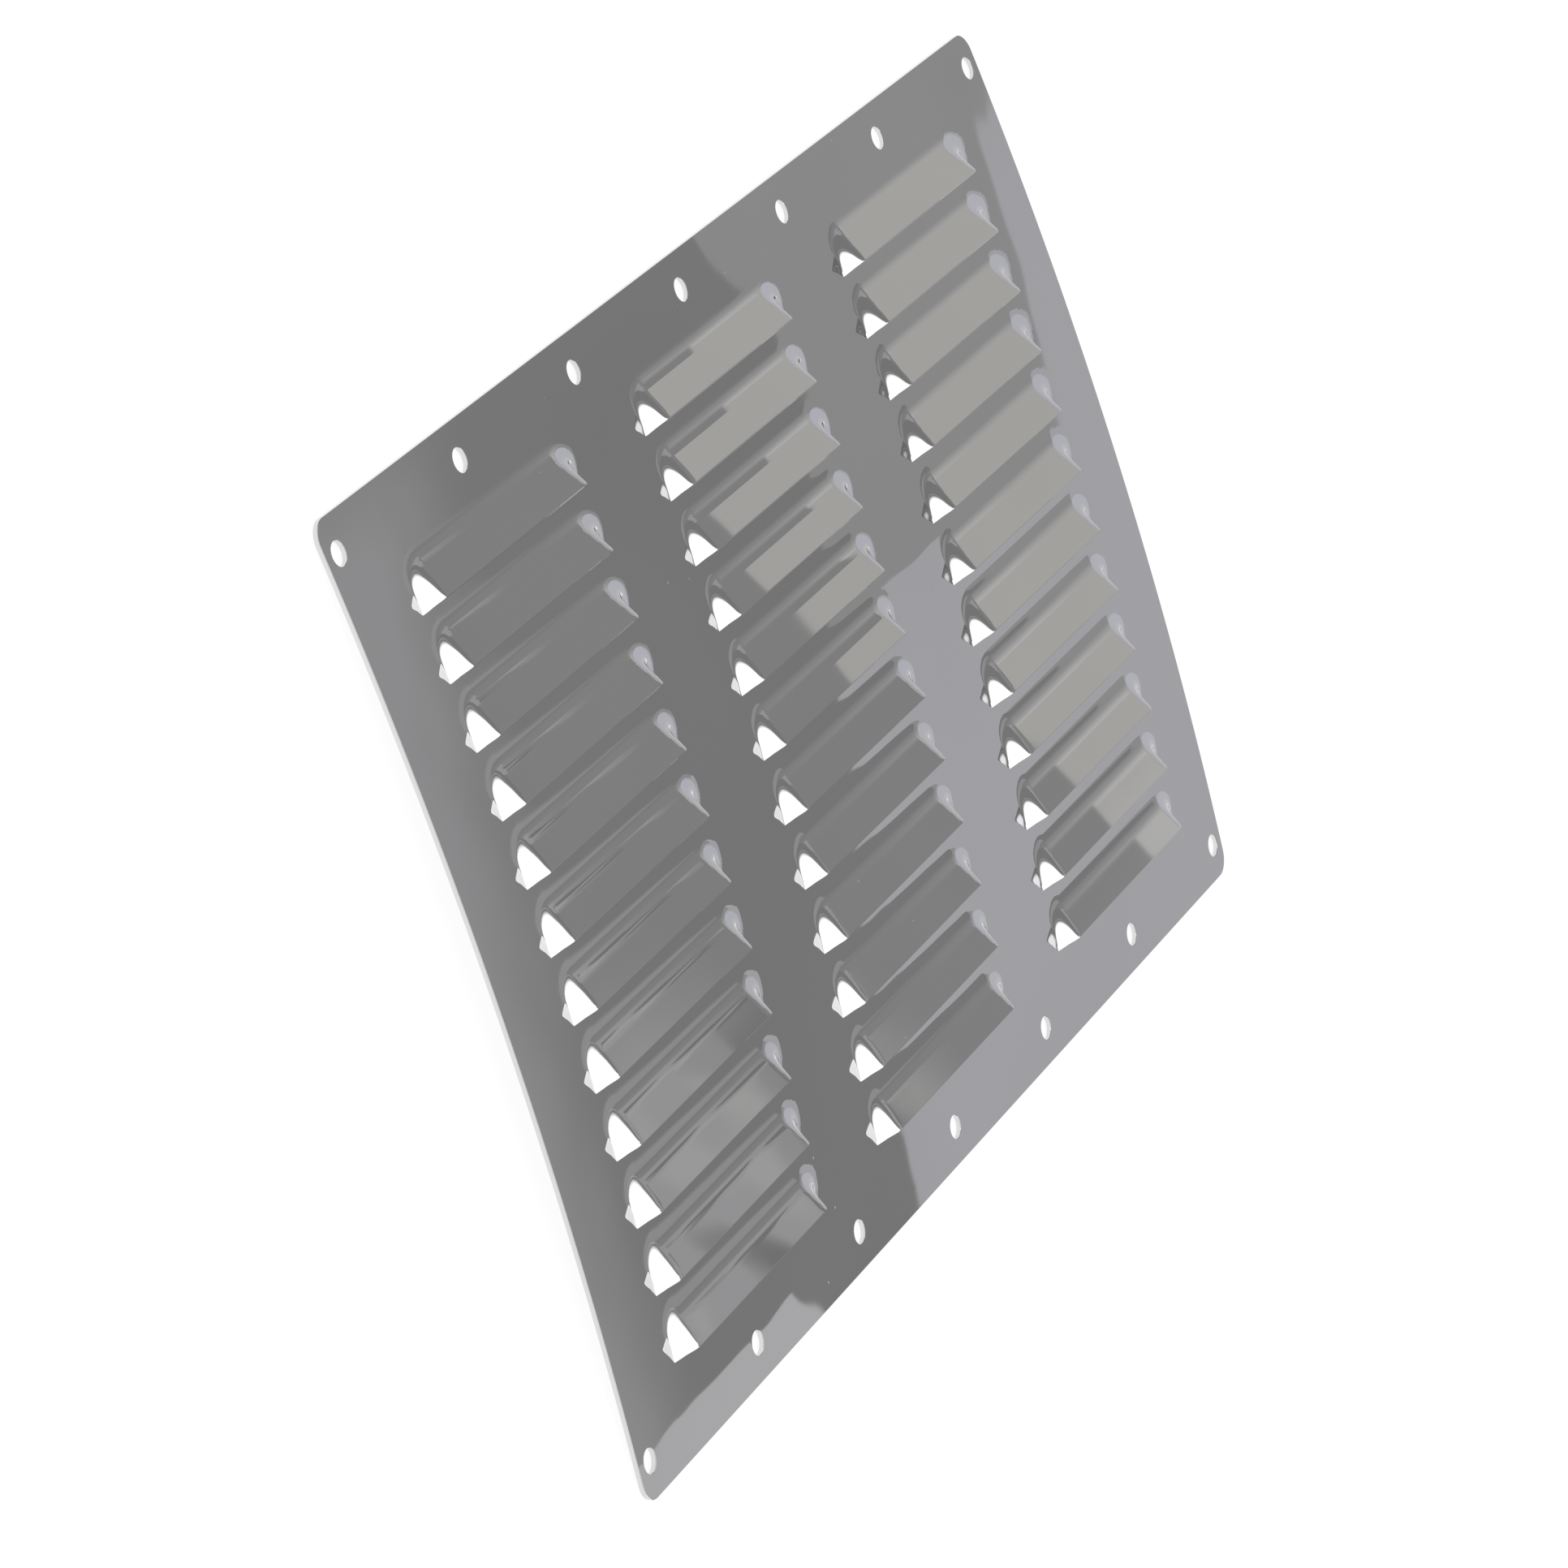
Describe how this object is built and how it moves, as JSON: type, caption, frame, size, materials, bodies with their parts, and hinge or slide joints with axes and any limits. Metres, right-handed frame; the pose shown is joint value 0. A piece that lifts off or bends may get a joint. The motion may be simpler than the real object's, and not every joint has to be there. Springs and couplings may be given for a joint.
{
  "type": "louvred vent panel",
  "caption": "Thin metal vent panel with rows of pressed louvres in columns, rounded corners and plain screw holes along both long edges.",
  "frame": {"origin": "middle of the panel in plan, level with the two long edges that it rests on", "axes": "+X along the louvres, +Y up the panel and away from the louvres' mouths, +Z out of the side that the louvres stand on"},
  "size_m": [0.33, 0.2, 0.0095],
  "materials": {
    "polished_steel": "mirror-polished stainless steel"
  },
  "bodies": {
    "root": {"louvred_panel": "polished_steel"}
  },
  "joints": []
}
